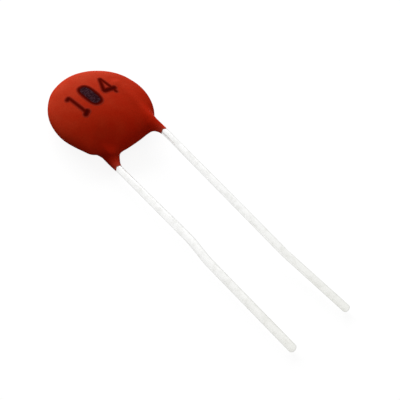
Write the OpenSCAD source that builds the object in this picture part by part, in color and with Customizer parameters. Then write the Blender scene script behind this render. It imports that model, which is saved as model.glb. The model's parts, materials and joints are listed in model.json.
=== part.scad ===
// Radial ceramic disc capacitor, lying on its back.
// The coated disc and the tips of both leads touch the surface at Z = 0.
// X runs across the leads, the leads leave the disc towards -Y, and the front face is up.
// The origin is the middle of the whole part's footprint. All sizes are in millimetres.

/* [Ceramic disc] */
// Diameter of the pressed ceramic disc
ceramic_d = 7.4; // [6.8:0.1:9]
// Thickness of the ceramic disc
ceramic_t = 0.4; // [0.2:0.05:0.8]
// Chamfer on both edges of the ceramic disc
ceramic_chamfer = 0.05; // [0.02:0.01:0.08]

/* [Electrodes] */
// Bare ceramic left outside each silver electrode
electrode_margin = 0.35; // [0.15:0.05:0.5]
// Thickness of each silver electrode
electrode_t = 0.03; // [0.02:0.01:0.08]

/* [Solder] */
// Solder left between a lead and its electrode
solder_film = 0.03; // [0.02:0.01:0.08]
// Solder over the top of a lead
solder_skin = 0.04; // [0.02:0.01:0.08]
// Reach of the solder fillet along the electrode, from the side of the lead
solder_fillet = 0.34; // [0.2:0.02:0.5]
// Thickness of the fillet at its foot
solder_foot = 0.04; // [0.02:0.01:0.06]
// Electrode left bare beside the solder, at the least, which limits the fillet on a small disc
solder_edge = 0.1; // [0.05:0.01:0.2]

/* [Leads] */
// Diameter of the lead wire
wire_d = 0.6; // [0.4:0.05:0.8]
// Distance between the two leads where they leave the coating
pitch = 5; // [4:0.1:5.4]
// Length of each lead that stays straight below the coating
stub_len = 0.5; // [0.3:0.05:2]
// Radius of the bends, along the middle of the wire
bend_r = 6; // [3:0.5:8]
// Rounding of the cut end of each lead
tip_round = 0.17; // [0.05:0.01:0.18]

/* [Front lead] */
// Length of the front lead below the coating, along the disc
front_len = 20.9; // [16:0.1:40]
// Length of its outer stretch, which is splayed
front_splay_len = 6.7; // [5:0.1:10]
// Sideways splay of its tip
front_splay = 0.48; // [0:0.02:1]

/* [Rear lead] */
// Length of the rear lead below the coating, along the disc
rear_len = 20.2; // [18:0.1:40]
// Distance from the coating to the sideways jog
rear_jog_at = 8.5; // [6:0.1:12]
// Length of the jog, along the disc
rear_jog_len = 2.1; // [1.6:0.1:3]
// Sideways step of the jog
rear_jog = 0.26; // [0.1:0.02:0.5]
// Further sideways splay between the jog and the tip
rear_splay = 0.14; // [0:0.02:0.5]

/* [Coating] */
// Resin outside the edge of the ceramic disc
coat_rim = 0.82; // [0.6:0.02:1.2]
// Height of the dome's crown over the level of the leads inside
coat_crown = 0.34; // [0.28:0.01:0.8]
// Fullness of the domed section, where 2 is an ellipse
dome_power = 2.2; // [2:0.05:2.6]
// How far the rim draws in between the legs
rim_draw_in = 0.3; // [0:0.02:0.4]
// Angle from the middle of the drawn-in stretch to its end, in degrees
draw_in_turn = 40; // [30:1:60]
// Length of each resin leg, beyond the round rim
leg_len = 0.7; // [0.1:0.05:1]
// Resin round each lead at the end of its leg, and along the leg's outer side
leg_wall = 0.04; // [0.03:0.01:0.08]
// Resin over each lead where it passes the rim
leg_root_wall = 0.22; // [0.12:0.02:0.3]
// Length over which each leg tapers
leg_taper = 0.9; // [0.3:0.1:1]
// Width of the soft blend between the legs and the disc
leg_blend = 0.7; // [0.4:0.05:1]
// Length, inwards from the rim, over which the ridge over each lead fades into the face
ridge_len = 2.2; // [1:0.1:3]
// Width of the blend where the ridge has faded
ridge_blend = 0.3; // [0.1:0.05:0.4]

/* [Hidden] */

coat_colour = "#b02a18";
ceramic_colour = "#c9b98f";
silver_colour = "#d9d9d6";
solder_colour = "#a9abad";
lead_colour = "#dcdcda";

round_fn = 96;
wire_fn = 48;
ring_fn = 720;
arc_steps = 8;
bend_wire_share = 0.99;
bend_overlap = 0.5;

FRONT = 1;
REAR = -1;

ceramic_r = ceramic_d / 2;
wire_r = wire_d / 2;
electrode_r = ceramic_r - electrode_margin;
face_z = ceramic_t / 2 + electrode_t;
wire_z = face_z + solder_film + wire_r;

// A solder mound keeps to its electrode: its round ends stay inside the electrode's edge
solder_reach = min(solder_fillet, electrode_r - solder_edge - wire_r - pitch / 2);
solder_half_w = wire_r + solder_reach;
solder_half_len = sqrt(pow(electrode_r - solder_half_w, 2) - pow(pitch / 2, 2));

coat_r = ceramic_r + coat_rim;
coat_half_t = wire_z + wire_r + coat_crown;
leg_end_y = -(coat_r + leg_len);
leg_root_r = wire_r + leg_root_wall;
leg_r = wire_r + leg_wall;

// Where each lead passes the round rim, and its direction from the disc's centre
leg_root_y = -sqrt(pow(coat_r, 2) - pow(pitch / 2, 2));
leg_turn = atan2(pitch / 2, -leg_root_y);

// How far past the end of its leg each lead passes the rim, and its ridge has faded
rim_past = leg_root_y - leg_end_y;
ridge_end = rim_past + ridge_len;

// Each leg is drawn a little too long, and then cut off square
leg_excess = 0.3;
leg_tip_y = leg_end_y - leg_excess;

// The coating's grid: its columns start on a circle under the crown and run out to the outline
hub_share = 0.4;
hub_r = hub_share * coat_r;
hub_ring = -0.5;
column_steps = 10;

// The outline is searched for along rays, out to these distances from the disc's centre and
// from the place where a lead passes the rim
rim_reach = 1.1 * coat_r;
leg_reach = 3 * leg_root_r;

// Angles to -Y, in degrees, at which the rays change from one stretch of the outline to the next:
// the valley between the legs, the web at a leg's inner side, its outer shoulder, the round rim.
// The first ray of the web aims at a place on the rim just past the last ray of the valley.
valley_end = leg_turn - 14;
web_aim = coat_r * [sin(leg_turn - 10), -cos(leg_turn - 10)];
web_start = atan2(web_aim.x - pitch / 2, leg_root_y - web_aim.y);
web_end = -40;
shoulder_start = 65;
shoulder_end = 80;
rim_start = leg_turn + 8;

// Levels certain to be outside the coating, and the steps of the searches
outside_z = 1.3 * coat_half_t;
waist_steps = 12;
search_steps = 15;

stub_end_y = leg_end_y - stub_len;

// Place of the disc's centre in the part's frame, whose table lies under the dome
centre_y = -(coat_r + leg_end_y - max(front_len, rear_len)) / 2;
centre_z = coat_half_t;

// ---------- Lead paths ----------

// Height of a tip's middle when its rounded end touches the table at the given slope
function resting_tip_z(slope) =
    tip_round - coat_half_t + (wire_r - tip_round) * cos(slope) - tip_round * sin(slope);

// Slope at which a lead comes down from stub_z to the table over the given run
function droop(stub_z, run, rounds = 5) =
    rounds == 0
        ? 0
        : atan((stub_z - resting_tip_z(droop(stub_z, run, rounds - 1))) / run);

// Middle line of a lead, from its end in the solder to its tip.
// Each knee gives the distance below the coating and the step away from the middle of the part.
function lead_path(side, knees) =
    let (stub_z = side * wire_z,
         slope = droop(stub_z, knees[len(knees) - 1][0] - stub_len))
    concat(
        [[side * pitch / 2, solder_half_len, stub_z]],
        [for (knee = knees) [
            side * (pitch / 2 + knee[1]),
            leg_end_y - knee[0],
            stub_z - (knee[0] - stub_len) * tan(slope)
        ]]
    );

front_knees = [
    [stub_len, 0],
    [front_len - front_splay_len, 0],
    [front_len, front_splay]
];

rear_knees = [
    [stub_len, 0],
    [rear_jog_at, 0],
    [rear_jog_at + rear_jog_len, rear_jog],
    [rear_len, rear_jog + rear_splay]
];

function unit(v) = v / norm(v);

// Angle through which the path turns at point i, and 0 at its two ends
function turn(path, i) =
    i == 0 || i == len(path) - 1
        ? 0
        : let (a = unit(path[i] - path[i - 1]), b = unit(path[i + 1] - path[i]))
            atan2(norm(cross(a, b)), a * b);

// Length that the bend at point i takes from each of the two runs that meet there
function trim(path, i) = bend_r * tan(turn(path, i) / 2);

// Straight round wire from point a to point b, with its far edge rounded
module straight_run(a, b, rounding = 0) {
    length = norm(b - a);
    d = (b - a) / length;
    translate(a)
        rotate([0, acos(d.z), atan2(d.y, d.x)])
            rotate_extrude($fn = wire_fn)
                polygon(concat(
                    [[0, 0], [wire_r, 0]],
                    rounding == 0
                        ? [[wire_r, length]]
                        : [for (i = [0:arc_steps])
                            let (t = 90 * i / arc_steps)
                            [wire_r - rounding * (1 - cos(t)), length - rounding * (1 - sin(t))]],
                    [[0, length]]
                ));
}

// Bend at point i of the path: part of a ring whose middle radius is bend_r.
// It is a hair thinner than the runs, and its ends reach a little way into them.
module bend(path, i) {
    along = unit(path[i] - path[i - 1]);
    next = unit(path[i + 1] - path[i]);
    inward = unit(next - along * (along * next));
    centre = path[i] - along * trim(path, i) + inward * bend_r;
    up = cross(-inward, along);
    multmatrix([
        [-inward.x, along.x, up.x, centre.x],
        [-inward.y, along.y, up.y, centre.y],
        [-inward.z, along.z, up.z, centre.z],
        [0, 0, 0, 1]
    ])
        rotate([0, 0, -bend_overlap])
            rotate_extrude(angle = turn(path, i) + 2 * bend_overlap, $fn = ring_fn)
                translate([bend_r, 0])
                    circle(r = bend_wire_share * wire_r, $fn = wire_fn);
}

module bent_wire(path) {
    last = len(path) - 1;
    for (i = [1:last]) {
        d = unit(path[i] - path[i - 1]);
        straight_run(
            path[i - 1] + d * trim(path, i - 1),
            path[i] - d * trim(path, i),
            i == last ? tip_round : 0
        );
    }
    for (i = [1:last - 1]) {
        bend(path, i);
    }
}

// ---------- Coating surface ----------

// Smooth union of two distances, with a blend of the given width
function blend(a, b, width) =
    let (h = max(width - abs(a - b), 0) / width)
    min(a, b) - h * h * width / 4;

// Radius of the rim in the direction of p, drawn in about -Y
function rim_radius(p) =
    let (turn = min(abs(atan2(p.x, -p.y)), draw_in_turn))
    coat_r - rim_draw_in * pow(cos(90 * turn / draw_in_turn), 2);

// Distance from the domed disc, close to its surface, negative inside
function dome_distance(p) =
    let (n = dome_power,
         rim_r = rim_radius(p),
         u = norm([p.x, p.y]) / rim_r,
         w = abs(p.z) / coat_half_t,
         k = pow(pow(u, n) + pow(w, n), 1 / n),
         slope = pow(k, 1 - n) * norm([pow(u, n - 1) / rim_r, pow(w, n - 1) / coat_half_t]))
    (k - 1) / slope;

// Distance from the resin round one lead: a rod that is thickest where it passes the rim.
// It leans towards the middle of the disc, so its outer side stays close to the lead.
function leg_distance(p, side) =
    let (past = p.y - leg_end_y,
         radius = lookup(past, [
             [0, leg_r],
             [leg_taper, leg_root_r],
             [ridge_end, leg_r]
         ]),
         middle_x = side * (pitch / 2 - (radius - leg_r)),
         beyond = max(leg_tip_y - p.y, p.y - solder_half_len, 0))
    norm([p.x - middle_x, beyond, p.z - side * wire_z]) - radius;

function coat_distance(p) =
    let (width = lookup(p.y - leg_end_y, [[rim_past, leg_blend], [ridge_end, ridge_blend]]))
    blend(blend(dome_distance(p), leg_distance(p, FRONT), width), leg_distance(p, REAR), width);

// Height between low and high at which the resin at (x, y) is deepest
function waist_between(x, y, low, high, steps) =
    let (a = (2 * low + high) / 3, b = (low + 2 * high) / 3)
    steps == 0
        ? (low + high) / 2
        : coat_distance([x, y, a]) < coat_distance([x, y, b])
            ? waist_between(x, y, low, b, steps - 1)
            : waist_between(x, y, a, high, steps - 1);

function waist(x, y) =
    let (limit = wire_z + leg_r - wire_r)
    waist_between(x, y, -limit, limit, waist_steps);

// Point of the outline, seen from above, on the ray that leaves the point from at an angle to -Y
function outline_point(from, angle, low, high, steps = search_steps) =
    let (mid = (low + high) / 2,
         x = from.x + mid * sin(angle),
         y = from.y - mid * cos(angle),
         z = waist(x, y))
    steps == 0
        ? [x, y, z]
        : coat_distance([x, y, z]) < 0
            ? outline_point(from, angle, mid, high, steps - 1)
            : outline_point(from, angle, low, mid, steps - 1);

// Height of the surface above or below (x, y), between a point inside and one outside
function skin_z(x, y, inside, outside, steps = search_steps) =
    let (mid = (inside + outside) / 2)
    steps == 0
        ? mid
        : coat_distance([x, y, mid]) < 0
            ? skin_z(x, y, mid, outside, steps - 1)
            : skin_z(x, y, inside, mid, steps - 1);

// Rays are [start, angle to -Y, pull]. The pull says how strongly a ray's column follows the leg.
// This fan of rays leaves one point, and its angle and pull go from their first to their last value.
function fan(from, angles, pulls, count) =
    [for (i = [0:count - 1])
        let (share = i / (count - 1))
        [from, mix(angles, share), mix(pulls, share)]];

// Parallel rays, with full pull, that leave the middle line of the front leg between two levels
function comb(levels, angle, count) =
    [for (i = [0:count - 1])
        [[pitch / 2, mix(levels, i / (count - 1))], angle, 1]];

function mix(pair, share) = pair[0] + (pair[1] - pair[0]) * share;

// Rays that find half of the outline, from the middle between the legs to the far side
function outline_rays() =
    let (root = [pitch / 2, leg_root_y],
         inner_y = leg_root_y - 1.5 * leg_root_r,
         outer_y = leg_root_y - 0.5 * leg_root_r)
    concat(
        fan([0, 0], [0, valley_end], [0, 0], 6),
        fan(root, [web_start, web_end], [0.2, 1], 5),
        comb([inner_y, leg_tip_y], -90, 6),
        fan([pitch / 2, leg_tip_y], [-60, 60], [1, 1], 5),
        comb([leg_tip_y, outer_y], 90, 8),
        fan(root, [shoulder_start, shoulder_end], [0.7, 0.4], 2),
        fan([0, 0], [rim_start, 180], [0, 0], 24)
    );

// Outline as [point, pull], one half found by rays and the other its half turn about the Y axis
function outline() =
    let (half = [
        for (ray = outline_rays())
            let (reach = ray[0] == [0, 0] ? rim_reach : leg_reach)
            [outline_point(ray[0], ray[1], 0, reach), ray[2]]
    ])
    concat(
        half,
        [for (i = [len(half) - 2:-1:1])
            let (p = half[i][0])
            [[-p.x, p.y, -p.z], half[i][1]]]
    );

// Place on a column, as (x, y): 0 on the hub circle, 1 on the outline, less than 0 inside the hub
function column_xy(edge, hub, share) =
    let (p = [edge[0].x, edge[0].y],
         root = [sign(p.x) * pitch / 2, leg_root_y],
         knee = (1 - edge[1]) * (p + hub) / 2 + edge[1] * root)
    share < 0
        ? hub * (1 + share)
        : hub * pow(1 - share, 2) + knee * 2 * share * (1 - share) + p * pow(share, 2);

// Two triangles that fill a quadrangle of points, split along its shorter diagonal
function quad(points, a, b, c, d) =
    norm(points[a] - points[c]) <= norm(points[b] - points[d])
        ? [[a, b, c], [a, c, d]]
        : [[a, b, d], [b, c, d]];

module coat_body() {
    edges = outline();
    n = len(edges);
    shares = concat([hub_ring], [for (i = [0:column_steps]) sin(90 * i / column_steps)]);
    rim = len(shares) - 1;
    plan = [
        for (share = shares)
            for (i = [0:n - 1])
                column_xy(edges[i], hub_r * [sin(360 * i / n), -cos(360 * i / n)], share)
    ];
    waists = [for (i = [0:rim * n - 1]) waist(plan[i].x, plan[i].y)];
    points = concat(
        [for (i = [0:rim * n - 1])
            [plan[i].x, plan[i].y, skin_z(plan[i].x, plan[i].y, waists[i], outside_z)]],
        [for (edge = edges) edge[0]],
        [for (i = [0:rim * n - 1])
            [plan[i].x, plan[i].y, skin_z(plan[i].x, plan[i].y, waists[i], -outside_z)]],
        [[0, 0, coat_half_t], [0, 0, -coat_half_t]]
    );
    front_pole = (2 * rim + 1) * n;
    rear_pole = front_pole + 1;
    rear_start = [for (r = [0:rim]) r < rim ? (rim + 1 + r) * n : rim * n];
    faces = concat(
        [for (i = [0:n - 1]) let (j = (i + 1) % n) [front_pole, j, i]],
        [for (i = [0:n - 1]) let (j = (i + 1) % n) [rear_pole, rear_start[0] + i, rear_start[0] + j]],
        [for (r = [0:rim - 1])
            for (i = [0:n - 1])
                let (j = (i + 1) % n)
                for (f = quad(points, r * n + j, (r + 1) * n + j, (r + 1) * n + i, r * n + i)) f],
        [for (r = [0:rim - 1])
            let (a = rear_start[r], b = rear_start[r + 1])
            for (i = [0:n - 1])
                let (j = (i + 1) % n)
                for (f = quad(points, b + i, b + j, a + j, a + i)) f]
    );
    polyhedron(points = points, faces = faces);
}

// ---------- Inner solids, about the disc's centre ----------

module ceramic_body() {
    c = ceramic_chamfer;
    h = ceramic_t / 2;
    rotate_extrude($fn = round_fn)
        polygon([
            [0, -h], [ceramic_r - c, -h], [ceramic_r, c - h],
            [ceramic_r, h - c], [ceramic_r - c, h], [0, h]
        ]);
}

// The rear pieces are the front ones turned over about the Y axis
module turned_to(side) {
    rotate([0, side == FRONT ? 0 : 180, 0])
        children();
}

module electrode_body(side) {
    turned_to(side)
        translate([0, 0, ceramic_t / 2])
            cylinder(h = electrode_t, r = electrode_r, $fn = round_fn);
}

// Half of the mound's section, from its middle line out to the foot of the fillet
function solder_half_profile() =
    let (cap_r = wire_r + solder_skin,
         cap_z = solder_film + wire_r,
         reach = solder_half_w - cap_r,
         rise = cap_z - solder_foot)
    concat(
        [[0, 0], [solder_half_w, 0]],
        [for (i = [0:arc_steps])
            let (t = 90 * i / arc_steps)
            [solder_half_w - reach * sin(t), cap_z - rise * cos(t)]],
        [for (i = [1:arc_steps - 1])
            let (t = 90 * i / arc_steps)
            [cap_r * cos(t), cap_z + cap_r * sin(t)]],
        [[0, cap_z + cap_r]]
    );

// Solder mound before the lead is taken out of it, along Y on top of the front electrode
module solder_mound() {
    for (end = [0, 1]) {
        mirror([0, end, 0])
            translate([0, solder_half_len, 0])
                rotate_extrude(angle = 180, $fn = wire_fn)
                    polygon(solder_half_profile());
    }
    for (half = [0, 1]) {
        mirror([half, 0, 0])
            translate([0, solder_half_len, 0])
                rotate([90, 0, 0])
                    linear_extrude(height = 2 * solder_half_len)
                        polygon(solder_half_profile());
    }
}

module placed_mound(side) {
    turned_to(side)
        translate([pitch / 2, 0, face_z])
            solder_mound();
}

// The straight stretch of a lead that solder and coating close on
module lead_core(side) {
    turned_to(side)
        straight_run([pitch / 2, solder_half_len, wire_z], [pitch / 2, stub_end_y, wire_z]);
}

// Everything that the coating was dipped over
module dipped_core() {
    ceramic_body();
    for (side = [FRONT, REAR]) {
        electrode_body(side);
        placed_mound(side);
        lead_core(side);
    }
}

// Block that cuts both legs off square
module leg_cut() {
    depth = 2 * leg_excess + leg_r;
    translate([-coat_r, leg_end_y - depth, -coat_half_t])
        cube([2 * coat_r, depth, 2 * coat_half_t]);
}

module placed() {
    translate([0, centre_y, centre_z])
        children();
}

// ---------- Sub-parts ----------

module coating() {
    color(coat_colour)
        placed()
            difference() {
                coat_body();
                dipped_core();
                leg_cut();
            }
}

module dielectric_disc() {
    color(ceramic_colour)
        placed()
            ceramic_body();
}

module electrode(side) {
    color(silver_colour)
        placed()
            electrode_body(side);
}

module solder_joint(side) {
    color(solder_colour)
        placed()
            difference() {
                placed_mound(side);
                lead_core(side);
            }
}

module lead(path) {
    color(lead_colour)
        placed()
            bent_wire(path);
}

coating();
dielectric_disc();
electrode(FRONT);  // electrode_front
electrode(REAR);  // electrode_rear
solder_joint(FRONT);  // solder_front
solder_joint(REAR);  // solder_rear
lead(lead_path(FRONT, front_knees));  // lead_front
lead(lead_path(REAR, rear_knees));  // lead_rear
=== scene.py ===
"""Looks of a radial ceramic disc capacitor lying on its back, its leads resting on the floor.

The dipped resin is modelled as the smooth skin of a domed disc and two legs that run down the
leads. The digits are thin films of ink on that skin. The leads are round wires along the middles
of the CAD leads, a little thicker towards their ends. The sealed inner pieces are the CAD solids
with their own finishes. Lengths are in millimetres until a mesh is made.
"""
import json
import math

import bpy
import numpy as np
from mathutils import Matrix, Vector, noise


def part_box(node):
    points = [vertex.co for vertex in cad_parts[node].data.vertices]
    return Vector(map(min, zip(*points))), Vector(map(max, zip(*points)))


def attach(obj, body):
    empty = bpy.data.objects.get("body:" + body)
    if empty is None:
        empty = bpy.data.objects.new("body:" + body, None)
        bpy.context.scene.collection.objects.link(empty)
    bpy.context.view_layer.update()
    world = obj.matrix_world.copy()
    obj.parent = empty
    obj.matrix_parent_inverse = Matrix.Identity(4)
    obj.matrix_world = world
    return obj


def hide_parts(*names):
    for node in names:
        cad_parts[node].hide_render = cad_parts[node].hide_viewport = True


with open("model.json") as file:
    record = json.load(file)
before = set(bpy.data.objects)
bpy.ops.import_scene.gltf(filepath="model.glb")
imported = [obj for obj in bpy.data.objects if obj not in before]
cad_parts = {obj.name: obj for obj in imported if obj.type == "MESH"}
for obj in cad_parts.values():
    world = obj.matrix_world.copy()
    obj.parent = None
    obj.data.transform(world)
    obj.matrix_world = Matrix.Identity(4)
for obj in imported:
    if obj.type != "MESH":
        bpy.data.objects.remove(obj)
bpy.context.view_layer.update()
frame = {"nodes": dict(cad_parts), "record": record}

MM = 0.001


# ---------- Sizes, from the frame ----------


def box_mm(node):
    """Lowest and highest corner of a CAD node, in millimetres."""
    low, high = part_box(node)
    return np.array(low) / MM, np.array(high) / MM


coat_low, coat_high = box_mm("coating")
lead_low, lead_high = box_mm("lead_front")
mounts = {mount["name"]: mount for mount in frame["record"]["mounts"]}

WIRE_R = mounts["front_lead_end"]["dims"]["r_mm"]
COAT_R = (coat_high[0] - coat_low[0]) / 2
HALF_T = (coat_high[2] - coat_low[2]) / 2
CENTRE = np.array([0, coat_high[1] - COAT_R, coat_low[2] + HALF_T])
LEG_END = coat_low[1] - CENTRE[1]
HALF_PITCH = lead_low[0] + WIRE_R
WIRE_Z = lead_high[2] - WIRE_R - CENTRE[2]
LEAD_TOP = lead_high[1] - CENTRE[1]

# ---------- The dipped resin ----------

DOME_POWER = 2.2
RIM_DRAW_IN = 0.31
DRAW_IN_TURN = math.radians(40)

# The two sides of the part: +1 is the front lead's, -1 the rear lead's
LEG_SHORT = {1: 0.1, -1: 0.07}
LEG_WALL = 0.03
LEG_ROOT_WALL = {1: 0.1, -1: 0.2}
LEG_TAPER = 0.9
INNER_BLEND = {1: 1.05, -1: 0.85}
OUTER_BLEND = {1: 0.6, -1: 0.3}
RIDGE_LENGTH = 2.1
RIDGE_SINK = 0.22
RIDGE_BLEND = 0.8

# Where each lead passes the rim, and where its ridge has faded, as distances from the leg's end
RIM_PAST = -math.sqrt(COAT_R**2 - HALF_PITCH**2) - LEG_END
RIDGE_END = RIM_PAST + RIDGE_LENGTH

# The end of each leg: a rounded lip on a wavy, notched edge, and the stretch hidden in the lead.
# Each wave of the edge is given as waves round the wire, turn and share of the height.
LIP_LENGTH = 0.1
LIP_SINK = 0.03
HIDDEN_LENGTH = 0.12
LIP_WAVE = 0.03
LIP_WAVE_SHARES = ((2, 1, 0.6), (5, -1, 0.4))
NOTCH_AT = 2.1
NOTCH_HALF_WIDTH = 0.4
NOTCH_DEPTH = 0.1

# Soft corners and flats of the rim: bearing from -Y towards +X, half width in degrees, height
RIM_WAVES = (
    (-150, 8, 0.03), (-114, 9, 0.02), (-71, 11, -0.06), (-52, 6, 0.1), (-16, 10, 0.04),
    (104, 6, -0.02), (145, 14, -0.05), (163, 6, -0.02),
)

# Where the marked face is lower than an even dome: x, y, radius, share of its height
FACE_FALLS = ((-2.6, -4.0, 1.8, 0.42), (3.7, 0.6, 1.5, 0.07))
CROWN_AT = -0.7
CROWN_RADIUS = 2.8
CROWN_SHARE = 0.06

# Slow unevenness of the whole skin, and fine dimples
SWELL_LENGTH = 2.2
SWELL_HEIGHT = 0.02
DIMPLE_LENGTH = 0.5
DIMPLE_HEIGHT = 0.003

# The mesh of the skin is finer round the leads, and flatter than wide
FINE_CELL = 0.035
COARSE_CELL = 0.075
CELL_FLATNESS = 0.7
FINE_INWARDS = 0.25
FINE_OUTWARDS = 0.15
NEWTON_STEPS = 8
RELAX_STEPS = 4
RELAX_NEWTON_STEPS = 3


def blend(a, b, width):
    """Smooth union of two distances."""
    h = np.maximum(width - np.abs(a - b), 0) / width
    return np.minimum(a, b) - h * h * width / 4


def ease(share):
    """A smooth step from 0 to 1."""
    share = np.clip(share, 0, 1)
    return share * share * (3 - 2 * share)


def rim_radius(bearing):
    """Radius of the rim at a bearing from -Y: drawn in between the legs, with soft corners."""
    turn = np.minimum(np.abs(bearing), DRAW_IN_TURN)
    radius = COAT_R - RIM_DRAW_IN * np.cos(math.pi / 2 * turn / DRAW_IN_TURN) ** 2
    for at, half_width, height in RIM_WAVES:
        off = np.angle(np.exp(1j * (bearing - math.radians(at))))
        radius = radius + height * np.exp(-((off / math.radians(half_width)) ** 2))
    return radius


def oval_distance(a, b, half_a, half_b, power):
    """Distance from a rounded oval at offsets a and b along its axes, close to its edge."""
    u = np.maximum(np.abs(a) / half_a, 1e-6)
    w = np.maximum(np.abs(b) / half_b, 1e-6)
    k = (u**power + w**power) ** (1 / power)
    slope = k ** (1 - power) * np.hypot(u ** (power - 1) / half_a, w ** (power - 1) / half_b)
    return (k - 1) / slope


def face_share(x, y):
    """How high the marked face stands as a share of an even dome: a low crown and two falls."""
    share = 1 - CROWN_SHARE * (1 - np.exp(-((x - CROWN_AT) ** 2 + y**2) / CROWN_RADIUS**2))
    for at_x, at_y, radius, fall in FACE_FALLS:
        share = share - fall * np.exp(-((x - at_x) ** 2 + (y - at_y) ** 2) / radius**2)
    return share


def dome_distance(p):
    """Distance from the domed disc, negative inside."""
    x, y, z = p[..., 0], p[..., 1], p[..., 2]
    half_t = HALF_T * np.where(z > 0, face_share(x, y), 1)
    return oval_distance(np.hypot(x, y), z, rim_radius(np.arctan2(x, -y)), half_t, DOME_POWER)


def past_lip(p, side):
    """How far the points p lie beyond the wavy edge of the resin on one wire."""
    round_wire = np.arctan2(p[..., 2] - side * WIRE_Z, p[..., 0] - side * HALF_PITCH)
    waves = sum(
        share * np.sin(count * round_wire + turn * side) for count, turn, share in LIP_WAVE_SHARES)
    edge = LIP_WAVE * (1 + waves)
    edge = edge + NOTCH_DEPTH * np.exp(-(((round_wire - NOTCH_AT) / NOTCH_HALF_WIDTH) ** 2))
    return p[..., 1] - LEG_END - LEG_SHORT[side] - edge


def leg_distance(p, side):
    """Distance from the resin round one lead, which ends in a rounded, wavy lip on the wire."""
    x, y, z = p[..., 0], p[..., 1], p[..., 2]
    past = y - LEG_END - LEG_SHORT[side]
    growth = (LEG_ROOT_WALL[side] - LEG_WALL) * ease(past / LEG_TAPER)
    fading = (LEG_ROOT_WALL[side] + RIDGE_SINK) * ease((past - LEG_TAPER) / (RIDGE_END - LEG_TAPER))
    radius = WIRE_R + LEG_WALL + growth - fading
    middle_x = side * (HALF_PITCH - np.maximum(radius - WIRE_R - LEG_WALL, 0))
    share = np.clip(past_lip(p, side) / LIP_LENGTH, 0, 1)
    radius = radius - (LEG_WALL + LIP_SINK) * (1 - np.sqrt(1 - (1 - share) ** 2))
    beyond = np.maximum(np.maximum(-HIDDEN_LENGTH - past, y - LEAD_TOP), 0)
    return np.sqrt((x - middle_x) ** 2 + beyond**2 + (z - side * WIRE_Z) ** 2) - radius


def resin_distance(p):
    """Distance from the whole dipped skin. Each leg blends widest on the side of the other leg."""
    faded = ease((p[..., 1] - LEG_END - RIM_PAST) / RIDGE_LENGTH)
    outside = ease((np.abs(p[..., 0]) - HALF_PITCH) / WIRE_R)
    distance = dome_distance(p)
    for side in (1, -1):
        width = INNER_BLEND[side] + (OUTER_BLEND[side] - INNER_BLEND[side]) * outside * (1 - faded)
        width = width + (RIDGE_BLEND - width) * faded
        distance = blend(distance, leg_distance(p, side), width)
    return distance


def gradient(distance, p, step=0.004):
    """Gradient of a distance at the points p."""
    moves = np.eye(3) * step
    return np.stack([distance(p + m) - distance(p - m) for m in moves], -1) / (2 * step)


def onto_skin(p, steps=NEWTON_STEPS):
    """The points p, moved along the gradient until they lie on the resin's skin."""
    for _ in range(steps):
        g = gradient(resin_distance, p)
        size = np.maximum((g**2).sum(-1, keepdims=True), 1e-3)
        move = resin_distance(p)[..., None] * g / size
        p = p - np.clip(move, -COARSE_CELL, COARSE_CELL)
    return p


def spaced(stops):
    """Grid levels through stops, given as (level, largest step up to the next stop)."""
    levels = [stops[0][0]]
    for (start, step), (end, _) in zip(stops, stops[1:]):
        count = math.ceil((end - start) / step)
        levels.extend(np.linspace(start, end, count + 1)[1:])
    return np.array(levels)


def surface_net(distance, axes):
    """Points and quads of a closed skin round the places where distance is negative."""
    grid = np.stack(np.meshgrid(*axes, indexing="ij"), -1)
    inside = distance(grid) < 0
    nx, ny, nz = (len(axis) - 1 for axis in axes)
    corners = [
        inside[i : i + nx, j : j + ny, k : k + nz] for i in (0, 1) for j in (0, 1) for k in (0, 1)
    ]
    mixed = np.any(corners, 0) & ~np.all(corners, 0)
    number = np.full(mixed.shape, -1)
    number[mixed] = np.arange(mixed.sum())
    middles = [(axis[1:] + axis[:-1]) / 2 for axis in axes]
    points = np.stack(np.meshgrid(*middles, indexing="ij"), -1)[mixed]
    quads = []
    for axis in range(3):
        one, two = (axis + 1) % 3, (axis + 2) % 3
        ends = np.moveaxis(inside, (axis, one, two), (0, 1, 2))
        cells = np.moveaxis(number, (axis, one, two), (0, 1, 2))
        start, end = ends[:-1, 1:-1, 1:-1], ends[1:, 1:-1, 1:-1]
        ring = [cells[:, :-1, :-1], cells[:, 1:, :-1], cells[:, 1:, 1:], cells[:, :-1, 1:]]
        ring = np.stack(ring, -1)
        quads.append(ring[start & ~end])
        quads.append(ring[~start & end][:, ::-1])
    return points, np.concatenate(quads)


def relaxed(points, quads):
    """The points, each moved halfway to the middle of its neighbours."""
    total = np.zeros_like(points)
    count = np.zeros(len(points))
    for a, b in ((0, 1), (1, 2), (2, 3), (3, 0)):
        for here, there in ((a, b), (b, a)):
            np.add.at(total, quads[:, here], points[quads[:, there]])
            np.add.at(count, quads[:, here], 1)
    return (points + total / count[:, None]) / 2


def swell(points):
    """Slow unevenness of a skin that ran and set, and fine dimples, at each point."""
    heights = []
    for p in points:
        slow = noise.noise(Vector(p) / SWELL_LENGTH + Vector((3, 1, 7)))
        fine = noise.noise(Vector(p) / DIMPLE_LENGTH)
        heights.append(SWELL_HEIGHT * (slow - 1) / 2 + DIMPLE_HEIGHT * (fine - 1) / 2)
    return np.array(heights)


def mesh_object(name, points, faces, material):
    """A smooth mesh piece from points about the disc's centre."""
    mesh = bpy.data.meshes.new(name)
    mesh.from_pydata(((points + CENTRE) * MM).tolist(), [], [face.tolist() for face in faces])
    mesh.shade_smooth()
    mesh.materials.append(material)
    piece = bpy.data.objects.new(name, mesh)
    bpy.context.scene.collection.objects.link(piece)
    return piece


def add_attribute(piece, name, values):
    """A number for each point of a mesh, for its material to read."""
    attribute = piece.data.attributes.new(name, "FLOAT", "POINT")
    attribute.data.foreach_set("value", values)


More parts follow.
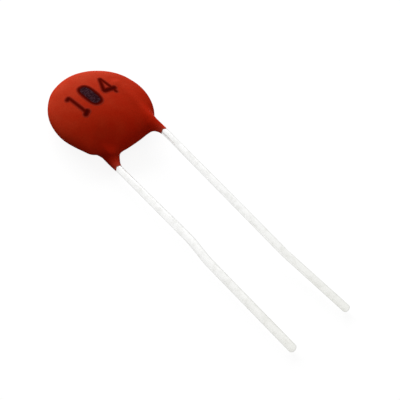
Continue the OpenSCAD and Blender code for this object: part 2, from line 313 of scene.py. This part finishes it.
def make_resin(material):
    """The dipped skin, which stands for the CAD coating."""
    margin = 2 * COARSE_CELL
    near = HALF_PITCH - WIRE_R - FINE_INWARDS
    far = HALF_PITCH + WIRE_R + FINE_OUTWARDS
    side = COAT_R + margin
    lip_top = LEG_END + LIP_LENGTH + 4 * LIP_WAVE
    top = HALF_T + margin
    axes = (
        spaced([(-side, COARSE_CELL), (-far, FINE_CELL), (-near, COARSE_CELL),
                (near, FINE_CELL), (far, COARSE_CELL), (side, 0)]),
        spaced([(LEG_END - HIDDEN_LENGTH - WIRE_R - margin, FINE_CELL), (lip_top, COARSE_CELL),
                (side, 0)]),
        spaced([(-top, COARSE_CELL * CELL_FLATNESS), (top, 0)]),
    )
    points, quads = surface_net(resin_distance, axes)
    points = onto_skin(points)
    for _ in range(RELAX_STEPS):
        points = onto_skin(relaxed(points, quads), RELAX_NEWTON_STEPS)
    normals = gradient(resin_distance, points)
    normals /= np.linalg.norm(normals, axis=1, keepdims=True)
    points = points + normals * swell(points)[:, None]
    piece = mesh_object("dipped_resin", points, quads, material)
    from_lip = np.where(points[:, 0] > 0, past_lip(points, 1), past_lip(points, -1))
    add_attribute(piece, "from_lip", np.maximum(from_lip, 0))
    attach(piece, "root")
    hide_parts("coating")
    return piece


# ---------- The tinned leads ----------

# The radius grows by the swell over this length from the coating. The tip stops a little short of
# the CAD lead's and is rounded over its own length.
TIN_SWELL = {1: 0.03, -1: 0.05}
TIN_SWELL_LENGTH = 9.0
TIP_SHORT = {1: 0.13, -1: 0.09}
TIP_LENGTH = 0.26
TOP_INSET = 0.01
LEAD_RING_STEP = 0.2
RING_POINTS = 32
TIP_RING_COUNT = 9


def lead_middle(node, y):
    """Middle of a CAD lead's cross-section at y, about the disc's centre."""
    mesh = frame["nodes"][node].data
    points = np.array([v.co for v in mesh.vertices]) / MM - CENTRE
    ends = points[np.array([e.vertices for e in mesh.edges])]
    start, end = ends[:, 0], ends[:, 1]
    middles = []
    for level in y:
        cut = (start[:, 1] - level) * (end[:, 1] - level) < 0
        share = (level - start[cut, 1]) / (end[cut, 1] - start[cut, 1])
        crossing = start[cut] + share[:, None] * (end[cut] - start[cut])
        middles.append((crossing.min(0) + crossing.max(0)) / 2)
    return np.array(middles)


def lead_quads(count):
    """Quads between the rings of a tube."""
    here = np.arange(RING_POINTS)
    there = (here + 1) % RING_POINTS
    rows = np.arange(count)[:, None] * RING_POINTS
    quads = np.stack([rows + here, rows + there, rows + there + RING_POINTS,
                      rows + here + RING_POINTS], -1)
    return quads.reshape(-1, 4)


def make_lead(node, side, material):
    """A tinned wire along the CAD lead's middle, a little thicker towards its rounded end."""
    low, high = box_mm(node)
    top, tip = high[1] - CENTRE[1], low[1] - CENTRE[1] + TIP_SHORT[side]
    count = math.ceil((top - tip) / LEAD_RING_STEP)
    y = np.linspace(top - TOP_INSET, tip + TIP_LENGTH, count)
    middle = lead_middle(node, y)
    swelling = TIN_SWELL[side] * ease((LEG_END - y) / TIN_SWELL_LENGTH)
    radius = WIRE_R + swelling
    turn = np.linspace(0, math.pi / 2, TIP_RING_COUNT)[1:-1]
    ends = np.tile(middle[-1], (len(turn), 1))
    ends[:, 1] -= TIP_LENGTH * np.sin(turn)
    middle = np.concatenate([middle, ends])
    radius = np.concatenate([radius, radius[-1] * np.cos(turn)])
    lift = np.concatenate([swelling, np.full(len(turn), swelling[-1])])
    round_wire = np.linspace(0, 2 * math.pi, RING_POINTS, endpoint=False)
    x = middle[:, 0, None] + radius[:, None] * np.cos(round_wire)
    z = middle[:, 2, None] + lift[:, None] + radius[:, None] * np.sin(round_wire)
    rings = np.stack([x, np.broadcast_to(middle[:, 1, None], x.shape), z], -1)
    first_ring = np.arange(RING_POINTS)
    last_ring = first_ring + (len(middle) - 1) * RING_POINTS
    faces = [*lead_quads(len(middle) - 1), first_ring[::-1], last_ring]
    piece = mesh_object("tinned_" + node, rings.reshape(-1, 3), faces, material)
    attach(piece, "root")
    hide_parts(node)
    return piece


# ---------- The printed digits ----------

# Strokes as (start, end, width at the start, width at the end), in the plane of the disc. A
# patch is the lowest and the highest corner of the grid that a digit is cut from.
DIGIT_ONE = (
    ((-2.09, 2.04), (-1.93, 2.12), 0.66, 0.68),
    ((-1.88, 2.10), (-1.76, 0.05), 0.58, 0.58),
    ((-1.92, -0.11), (-1.65, 0.07), 0.72, 0.80),
)
ONE_PATCH = ((-2.6, -0.6), (-1.1, 2.8))
DIGIT_FOUR = (
    ((1.60, 2.27), (0.97, 1.00), 0.58, 0.66),
    ((1.68, 2.26), (1.80, 0.34), 0.56, 0.56),
    ((1.05, 0.91), (1.90, 0.77), 0.80, 0.78),
)
FOUR_PATCH = ((0.6, -0.2), (2.6, 2.9))
# The zero is filled in: a rounded oval that leans a little
ZERO_MIDDLE = (-0.305, 1.28)
ZERO_HALF = (0.81, 1.43)
ZERO_LEAN = 0.03
ZERO_POWER = 2.6
ZERO_PATCH = ((-1.2, -0.3), (0.7, 2.9))

# The film's height over the skin, and how deep its edge and its back are sunk in it
INK_CELL = 0.035
INK_HEIGHT = 0.006
INK_SINK = 0.004
INK_ROOT = 0.02
INK_SHOULDER = 0.06
INK_EDGE_STEPS = 6


def stroke_distance(p, start, end, start_width, end_width):
    """Distance from a stroke with round ends."""
    start, end = np.array(start), np.array(end)
    along = end - start
    share = np.clip(((p - start) @ along) / (along @ along), 0, 1)
    nearest = start + share[..., None] * along
    half = (start_width + (end_width - start_width) * share) / 2
    return np.linalg.norm(p - nearest, axis=-1) - half


def strokes(parts):
    """A function that gives the distance from several strokes."""
    return lambda p: np.min([stroke_distance(p, *part) for part in parts], 0)


def zero_distance(p):
    """Distance from the filled zero."""
    x, y = p[..., 0] - ZERO_MIDDLE[0], p[..., 1] - ZERO_MIDDLE[1]
    return oval_distance(x + ZERO_LEAN * y, y, *ZERO_HALF, ZERO_POWER)


def on_face(p, lift):
    """Plane points p put on the front of the skin, raised by lift along its normal."""
    z = HALF_T * np.sqrt(np.clip(1 - (p[:, 0] ** 2 + p[:, 1] ** 2) / COAT_R**2, 0, 1))
    points = onto_skin(np.column_stack([p, z]))
    normals = gradient(resin_distance, points)
    normals /= np.linalg.norm(normals, axis=1, keepdims=True)
    return points + normals * (swell(points) + lift)[:, None]


def make_digit(name, distance, patch, material):
    """A thin closed film of ink with a rounded shoulder, its edge and back sunk in the resin."""
    low, high = patch
    xs = np.arange(low[0], high[0], INK_CELL)
    ys = np.arange(low[1], high[1], INK_CELL)
    grid = np.stack(np.meshgrid(xs, ys, indexing="ij"), -1)
    middles = (grid[:-1, :-1] + grid[1:, 1:]) / 2
    kept = distance(middles) < 0
    number = np.arange(grid.shape[0] * grid.shape[1]).reshape(grid.shape[:2])
    ring = [number[:-1, :-1], number[1:, :-1], number[1:, 1:], number[:-1, 1:]]
    quads = np.stack(ring, -1)[kept]
    used, faces = np.unique(quads, return_inverse=True)
    faces = faces.reshape(quads.shape)
    plane = grid.reshape(-1, 2)[used]
    sides = np.concatenate([faces[:, [0, 1]], faces[:, [1, 2]], faces[:, [2, 3]], faces[:, [3, 0]]])
    _, first, counts = np.unique(np.sort(sides, 1), axis=0, return_index=True, return_counts=True)
    rim = sides[first[counts == 1]]
    border, corner = np.unique(rim, return_inverse=True)
    for _ in range(INK_EDGE_STEPS):
        plane[border] -= plane_move(distance, plane[border])
    depth = np.maximum(-distance(plane), 0)
    depth[border] = 0
    rise = np.sqrt(1 - (1 - np.clip(depth / INK_SHOULDER, 0, 1)) ** 2)
    top = on_face(plane, rise * (INK_HEIGHT + INK_SINK) - INK_SINK)
    # The walls and the back have corners of their own, so that the top keeps its smooth shading
    back = on_face(plane, np.full(len(plane), -INK_ROOT))
    wall_top = len(plane) + corner.reshape(rim.shape)
    wall_foot = len(plane) + len(border) + rim
    walls = np.stack([wall_top[:, 1], wall_top[:, 0], wall_foot[:, 0], wall_foot[:, 1]], -1)
    back_faces = len(plane) + len(border) + faces[:, ::-1]
    points = np.concatenate([top, top[border], back])
    piece = mesh_object(name, points, np.concatenate([faces, walls, back_faces]), material)
    add_attribute(piece, "ink_depth", np.concatenate([depth, depth[border], depth]))
    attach(piece, "root")
    return piece


def plane_move(distance, p, step=0.005):
    """Move that takes plane points to the edge of a digit."""
    dx = (distance(p + [step, 0]) - distance(p - [step, 0])) / (2 * step)
    dy = (distance(p + [0, step]) - distance(p - [0, step])) / (2 * step)
    g = np.stack([dx, dy], -1)
    size = np.maximum((g**2).sum(-1, keepdims=True), 1e-2)
    return np.clip(distance(p)[:, None] * g / size, -INK_CELL, INK_CELL)


def make_digits(line, filled):
    """The three digits: line is the ink of plain strokes, filled the ink of the filled zero."""
    make_digit("ink_one", strokes(DIGIT_ONE), ONE_PATCH, line)
    make_digit("ink_zero", zero_distance, ZERO_PATCH, filled)
    make_digit("ink_four", strokes(DIGIT_FOUR), FOUR_PATCH, line)


# ---------- Finishes ----------


def add(tree, kind, inputs=None, **settings):
    """Adds a shader node. Each input is a value or the output socket that feeds it."""
    made = tree.nodes.new(kind)
    for name, value in settings.items():
        setattr(made, name, value)
    for name, value in (inputs or {}).items():
        if isinstance(value, bpy.types.NodeSocket):
            tree.links.new(value, made.inputs[name])
        else:
            made.inputs[name].default_value = value
    return made


def surface(name, **sockets):
    """A new material, its node tree and its shader, with values set on the shader's sockets."""
    material = bpy.data.materials.new(name)
    material.use_nodes = True
    tree = material.node_tree
    shader = tree.nodes["Principled BSDF"]
    for socket, value in sockets.items():
        shader.inputs[socket.replace("_", " ")].default_value = value
    return material, tree, shader


def per_mm(count):
    """Scale of a texture with that many features a millimetre."""
    return count / MM


def ramp(tree, factor, stops):
    """Colours between stops, each given as a position and a colour."""
    made = add(tree, "ShaderNodeValToRGB", {"Fac": factor})
    elements = made.color_ramp.elements
    while len(elements) < len(stops):
        elements.new(0.5)
    for element, (position, colour) in zip(elements, stops):
        element.position = position
        element.color = (*colour, 1)
    return made.outputs["Color"]


def scaled(tree, factor, low, high):
    """A noise factor stretched from its usual spread to low and high."""
    made = add(tree, "ShaderNodeMapRange", {
        "Value": factor, "From Min": 0.3, "From Max": 0.7, "To Min": low, "To Max": high})
    return made.outputs["Result"]


def noise_texture(tree, where, per, detail=2.0, roughness=0.5):
    """Noise with about that many features a millimetre."""
    made = add(tree, "ShaderNodeTexNoise", {
        "Vector": where, "Scale": per_mm(per), "Detail": detail, "Roughness": roughness})
    return made.outputs["Fac"]


def along_part(tree, where, start, end, share=1.0):
    """0 at start and share at end, both given along the leads from the disc's centre."""
    made = add(tree, "ShaderNodeMapRange", {
        "Value": add(tree, "ShaderNodeSeparateXYZ", {"Vector": where}).outputs["Y"],
        "From Min": (CENTRE[1] + start) * MM, "From Max": (CENTRE[1] + end) * MM, "To Max": share})
    return made.outputs["Result"]


def mixed(tree, factor, a, b):
    """Colour a turned towards colour b by factor."""
    made = add(tree, "ShaderNodeMix", {"Factor": factor, "A": a, "B": b}, data_type="RGBA")
    return made.outputs["Result"]


def bump(tree, height, depth):
    """Normals from a height of 0 to 1 that is worth depth millimetres."""
    made = add(tree, "ShaderNodeBump", {"Height": height, "Distance": depth * MM, "Strength": 1.0})
    return made.outputs["Normal"]


# Painted light and shade: the resin is painted a deeper red towards the legs, on the side away from
# the lamp, and lighter and oranger at the far rim, which faces the lamp
RESIN_SHADED = (0.51, 0.013, 0.002)
RESIN_BODY = (0.53, 0.025, 0.006)
RESIN_LIT = (0.56, 0.044, 0.014)
RESIN_FLECK = (0.38, 0.013, 0.002)
# Paler towards each lip, where the resin is thin over the bright wire, and partly a painted sheen
# up the legs, by distance from its edge in millimetres
RESIN_WIRE_AND_SHEEN = (
    (0.0, (0.82, 0.50, 0.42)), (0.06, (0.80, 0.20, 0.14)), (0.14, (0.76, 0.060, 0.030)),
    (0.5, (0.72, 0.034, 0.012)), (1.0, (0.60, 0.020, 0.005)),
)
WIRE_AND_SHEEN_FULL = 0.48
WIRE_AND_SHEEN_NONE = 1.2
# From where to where the painted shade turns to painted light, along the leads from the disc's
# centre
SHADED_TO = -4.5
LIT_FROM = 4.0
CLOUD_SHARE = 0.35


def resin_material():
    """Satin red-orange resin with faint mottling, fine pigment flecks and painted light and shade:
    deeper red towards the legs, oranger at the far rim, a painted sheen on the legs.
    """
    material, tree, shader = surface("resin", Specular_IOR_Level=0.005)
    where = add(tree, "ShaderNodeTexCoord").outputs["Object"]
    cloud = noise_texture(tree, where, 0.9, 4.0, 0.6)
    fleck = noise_texture(tree, where, 9.0, 1.0)
    # Painted shade towards the legs and painted light towards the far rim, mottled by a cloud of
    # noise
    shading_and_mottling = add(tree, "ShaderNodeMath", {
        0: along_part(tree, where, SHADED_TO, LIT_FROM),
        1: scaled(tree, cloud, -CLOUD_SHARE / 2, CLOUD_SHARE / 2)}, operation="ADD", use_clamp=True)
    body = ramp(
        tree, shading_and_mottling.outputs[0], ((0.0, RESIN_SHADED), (0.5, RESIN_BODY), (1.0, RESIN_LIT)))
    # Paler lips where the wire shows through thin resin, with a painted sheen further up the legs
    from_lip = add(tree, "ShaderNodeAttribute", attribute_name="from_lip").outputs["Fac"]
    near_lip = add(tree, "ShaderNodeMapRange", {
        "Value": from_lip, "From Min": WIRE_AND_SHEEN_FULL, "From Max": WIRE_AND_SHEEN_NONE,
        "To Min": 1.0, "To Max": 0.0}).outputs["Result"]
    legs = mixed(tree, near_lip, body, ramp(tree, from_lip, RESIN_WIRE_AND_SHEEN))
    flecked = mixed(tree, scaled(tree, fleck, -0.1, 0.25), legs, (*RESIN_FLECK, 1))
    tree.links.new(flecked, shader.inputs["Base Color"])
    tree.links.new(scaled(tree, cloud, 0.55, 0.45), shader.inputs["Roughness"])
    tree.links.new(bump(tree, fleck, 0.002), shader.inputs["Normal"])
    return material


# How the ink darkens from the resin's colour inwards from its edge, in millimetres
INK_FILM = (
    (0.0, (0.48, 0.026, 0.006)), (0.08, (0.37, 0.030, 0.016)), (0.15, (0.21, 0.012, 0.005)),
    (0.22, (0.14, 0.004, 0.001)), (0.31, (0.075, 0.003, 0.002)),
)
CORE_FROM = 0.36
CORE_TO = 0.44
CORE_DARK = (0.028, 0.005, 0.008)
CORE_SPECK = (0.076, 0.032, 0.044)


def ink_material(name, has_core):
    """Ink that bled at its edges. The filled zero turns to speckled slate where it is thick."""
    material, tree, shader = surface(name, Specular_IOR_Level=0.0)
    where = add(tree, "ShaderNodeTexCoord").outputs["Object"]
    depth = add(tree, "ShaderNodeAttribute", attribute_name="ink_depth").outputs["Fac"]
    grain = noise_texture(tree, where, 7.0, 3.0)
    colour = ramp(tree, depth, INK_FILM)
    if has_core:
        core = ramp(tree, grain, ((0.4, CORE_DARK), (0.68, CORE_SPECK)))
        share = add(tree, "ShaderNodeMapRange", {
            "Value": depth, "From Min": CORE_FROM, "From Max": CORE_TO}).outputs["Result"]
        colour = mixed(tree, share, colour, core)
    tree.links.new(colour, shader.inputs["Base Color"])
    tree.links.new(scaled(tree, grain, 0.4, 0.7), shader.inputs["Roughness"])
    tree.links.new(bump(tree, grain, 0.002), shader.inputs["Normal"])
    return material


TIN_SPOT = (0.84, 0.84, 0.82)
TIN_BRIGHT = (0.93, 0.93, 0.92)
TIN_EDGE = (0.65, 0.65, 0.65, 1)
TIN_DULL = (0.70, 0.70, 0.62)
TIN_DULL_SHARE = 0.4
TIN_BRIGHT_TO = -14.0
TIN_DULL_FROM = -27.0
STREAK_STRETCH = (1, 0.08, 1)


def tinned_material():
    """Bright tinned wire with faint streaks and dull spots, duller and ivory towards the ends."""
    material, tree, shader = surface("tinned_wire", Metallic=1.0, Specular_Tint=TIN_EDGE)
    where = add(tree, "ShaderNodeTexCoord").outputs["Object"]
    stretched = add(tree, "ShaderNodeMapping", {"Vector": where, "Scale": STREAK_STRETCH})
    streak = noise_texture(tree, stretched.outputs["Vector"], 7.0, 3.0)
    spot = noise_texture(tree, where, 2.2, 2.0)
    colour = ramp(tree, spot, ((0.3, TIN_SPOT), (0.55, TIN_BRIGHT)))
    dulling = along_part(tree, where, TIN_BRIGHT_TO, TIN_DULL_FROM, TIN_DULL_SHARE)
    tree.links.new(mixed(tree, dulling, colour, (*TIN_DULL, 1)), shader.inputs["Base Color"])
    tree.links.new(scaled(tree, streak, 0.22, 0.38), shader.inputs["Roughness"])
    tree.links.new(bump(tree, streak, 0.004), shader.inputs["Normal"])
    return material


def plain_material(name, low, high, grain, **sockets):
    """A finish for a sealed inner piece: two near colours in a grain of that many a millimetre."""
    material, tree, shader = surface(name, **sockets)
    where = add(tree, "ShaderNodeTexCoord").outputs["Object"]
    pattern = noise_texture(tree, where, grain, 3.0)
    tree.links.new(ramp(tree, pattern, ((0.3, low), (0.7, high))), shader.inputs["Base Color"])
    tree.links.new(scaled(tree, pattern, 0.35, 0.55), shader.inputs["Roughness"])
    tree.links.new(bump(tree, pattern, 0.003), shader.inputs["Normal"])
    return material


def finish_nodes():
    """Puts a finish on every CAD node that stays."""
    ceramic = plain_material("ceramic", (0.50, 0.42, 0.25), (0.62, 0.53, 0.34), 12.0)
    silver = plain_material(
        "fired_silver", (0.62, 0.62, 0.60), (0.80, 0.80, 0.78), 20.0, Metallic=1.0)
    solder = plain_material("solder", (0.45, 0.46, 0.47), (0.62, 0.62, 0.62), 4.0, Metallic=1.0)
    finishes = {
        "dielectric_disc": ceramic, "electrode_front": silver, "electrode_rear": silver,
        "solder_front": solder, "solder_rear": solder,
    }
    for node, material in finishes.items():
        mesh = frame["nodes"][node].data
        mesh.materials.clear()
        mesh.materials.append(material)


# ---------- Floor, light and camera ----------

KEY_TOWARDS = Vector((0.32, 0.88, 0.34))
KEY_DISTANCE = 0.2
KEY_WIDTH = 0.28
KEY_HEIGHT = 0.14
KEY_LEVEL = 1.62
FILL_LEVEL = 0.26
FLOOR_COLOUR = 0.2
FLOOR_GLOW = 0.9
FLOOR_HALF_METRES = 3.0


def seen_directly(tree):
    """1 for camera, glossy and transmitted rays, and 0 for diffuse light."""
    rays = add(tree, "ShaderNodeLightPath").outputs
    seen = rays["Is Camera Ray"]
    for other in ("Is Glossy Ray", "Is Transmission Ray"):
        larger = add(tree, "ShaderNodeMath", {0: seen, 1: rays[other]}, operation="MAXIMUM")
        seen = larger.outputs[0]
    return seen


def make_floor():
    """A pale floor that reads as white and keeps a faint soft shadow."""
    material, tree, shader = surface(
        "floor", Base_Color=(FLOOR_COLOUR, FLOOR_COLOUR, FLOOR_COLOUR, 1), Roughness=0.9,
        Specular_IOR_Level=0.0)
    glow = add(
        tree, "ShaderNodeMath", {0: seen_directly(tree), 1: FLOOR_GLOW}, operation="MULTIPLY")
    shader.inputs["Emission Color"].default_value = (1, 1, 1, 1)
    tree.links.new(glow.outputs[0], shader.inputs["Emission Strength"])
    half = FLOOR_HALF_METRES
    corners = [(-half, -half, 0), (half, -half, 0), (half, half, 0), (-half, half, 0)]
    mesh = bpy.data.meshes.new("floor")
    mesh.from_pydata(corners, [], [(0, 1, 2, 3)])
    mesh.materials.append(material)
    floor = bpy.data.objects.new("floor", mesh)
    bpy.context.scene.collection.objects.link(floor)


def make_world():
    """White where it is seen or reflected, and a low even fill for diffuse light."""
    world = bpy.data.worlds.new("studio")
    bpy.context.scene.world = world
    world.use_nodes = True
    tree = world.node_tree
    level = add(tree, "ShaderNodeMapRange", {
        "Value": seen_directly(tree), "To Min": FILL_LEVEL, "To Max": 1.0})
    background = tree.nodes["Background"]
    background.inputs["Color"].default_value = (1, 1, 1, 1)
    tree.links.new(level.outputs["Result"], background.inputs["Strength"])


def make_key():
    """One long soft lamp behind the disc, over its far side."""
    data = bpy.data.lights.new("key", "AREA")
    data.shape = "RECTANGLE"
    data.size = KEY_WIDTH
    data.size_y = KEY_HEIGHT
    data.energy = KEY_LEVEL * (math.pi * KEY_DISTANCE) ** 2
    lamp = bpy.data.objects.new("key", data)
    towards = KEY_TOWARDS.normalized()
    lamp.location = Vector(CENTRE) * MM + towards * KEY_DISTANCE
    lamp.rotation_euler = towards.to_track_quat("Z", "Y").to_euler()
    bpy.context.scene.collection.objects.link(lamp)


CAMERA_AIM = Vector(CENTRE + (0.509, -11.586, -0.234)) * MM
CAMERA_BEARING = math.radians(-60.6)
CAMERA_ELEVATION = math.radians(55.0)
CAMERA_ROLL = math.radians(18.9)
CAMERA_DISTANCE = 60 * MM
CAMERA_FIELD = math.radians(30.3)


def make_camera():
    """The camera looks down on the part from beside its leads, turned a little about its axis."""
    data = bpy.data.cameras.new("camera")
    data.angle = CAMERA_FIELD
    data.clip_start = 0.001
    camera = bpy.data.objects.new("camera", data)
    flat = math.cos(CAMERA_ELEVATION)
    across, along = math.sin(CAMERA_BEARING) * flat, -math.cos(CAMERA_BEARING) * flat
    back = Vector((across, along, math.sin(CAMERA_ELEVATION)))
    level = back.to_track_quat("Z", "Y").to_matrix()
    camera.rotation_euler = (level @ Matrix.Rotation(CAMERA_ROLL, 3, "Z")).to_euler()
    camera.location = CAMERA_AIM + back * CAMERA_DISTANCE
    bpy.context.scene.collection.objects.link(camera)
    bpy.context.scene.camera = camera


bpy.context.scene.view_settings.view_transform = "Standard"
make_camera()
make_resin(resin_material())
make_digits(ink_material("ink", False), ink_material("filled_ink", True))
tinned = tinned_material()
make_lead("lead_front", 1, tinned)
make_lead("lead_rear", -1, tinned)
finish_nodes()
make_floor()
make_world()
make_key()
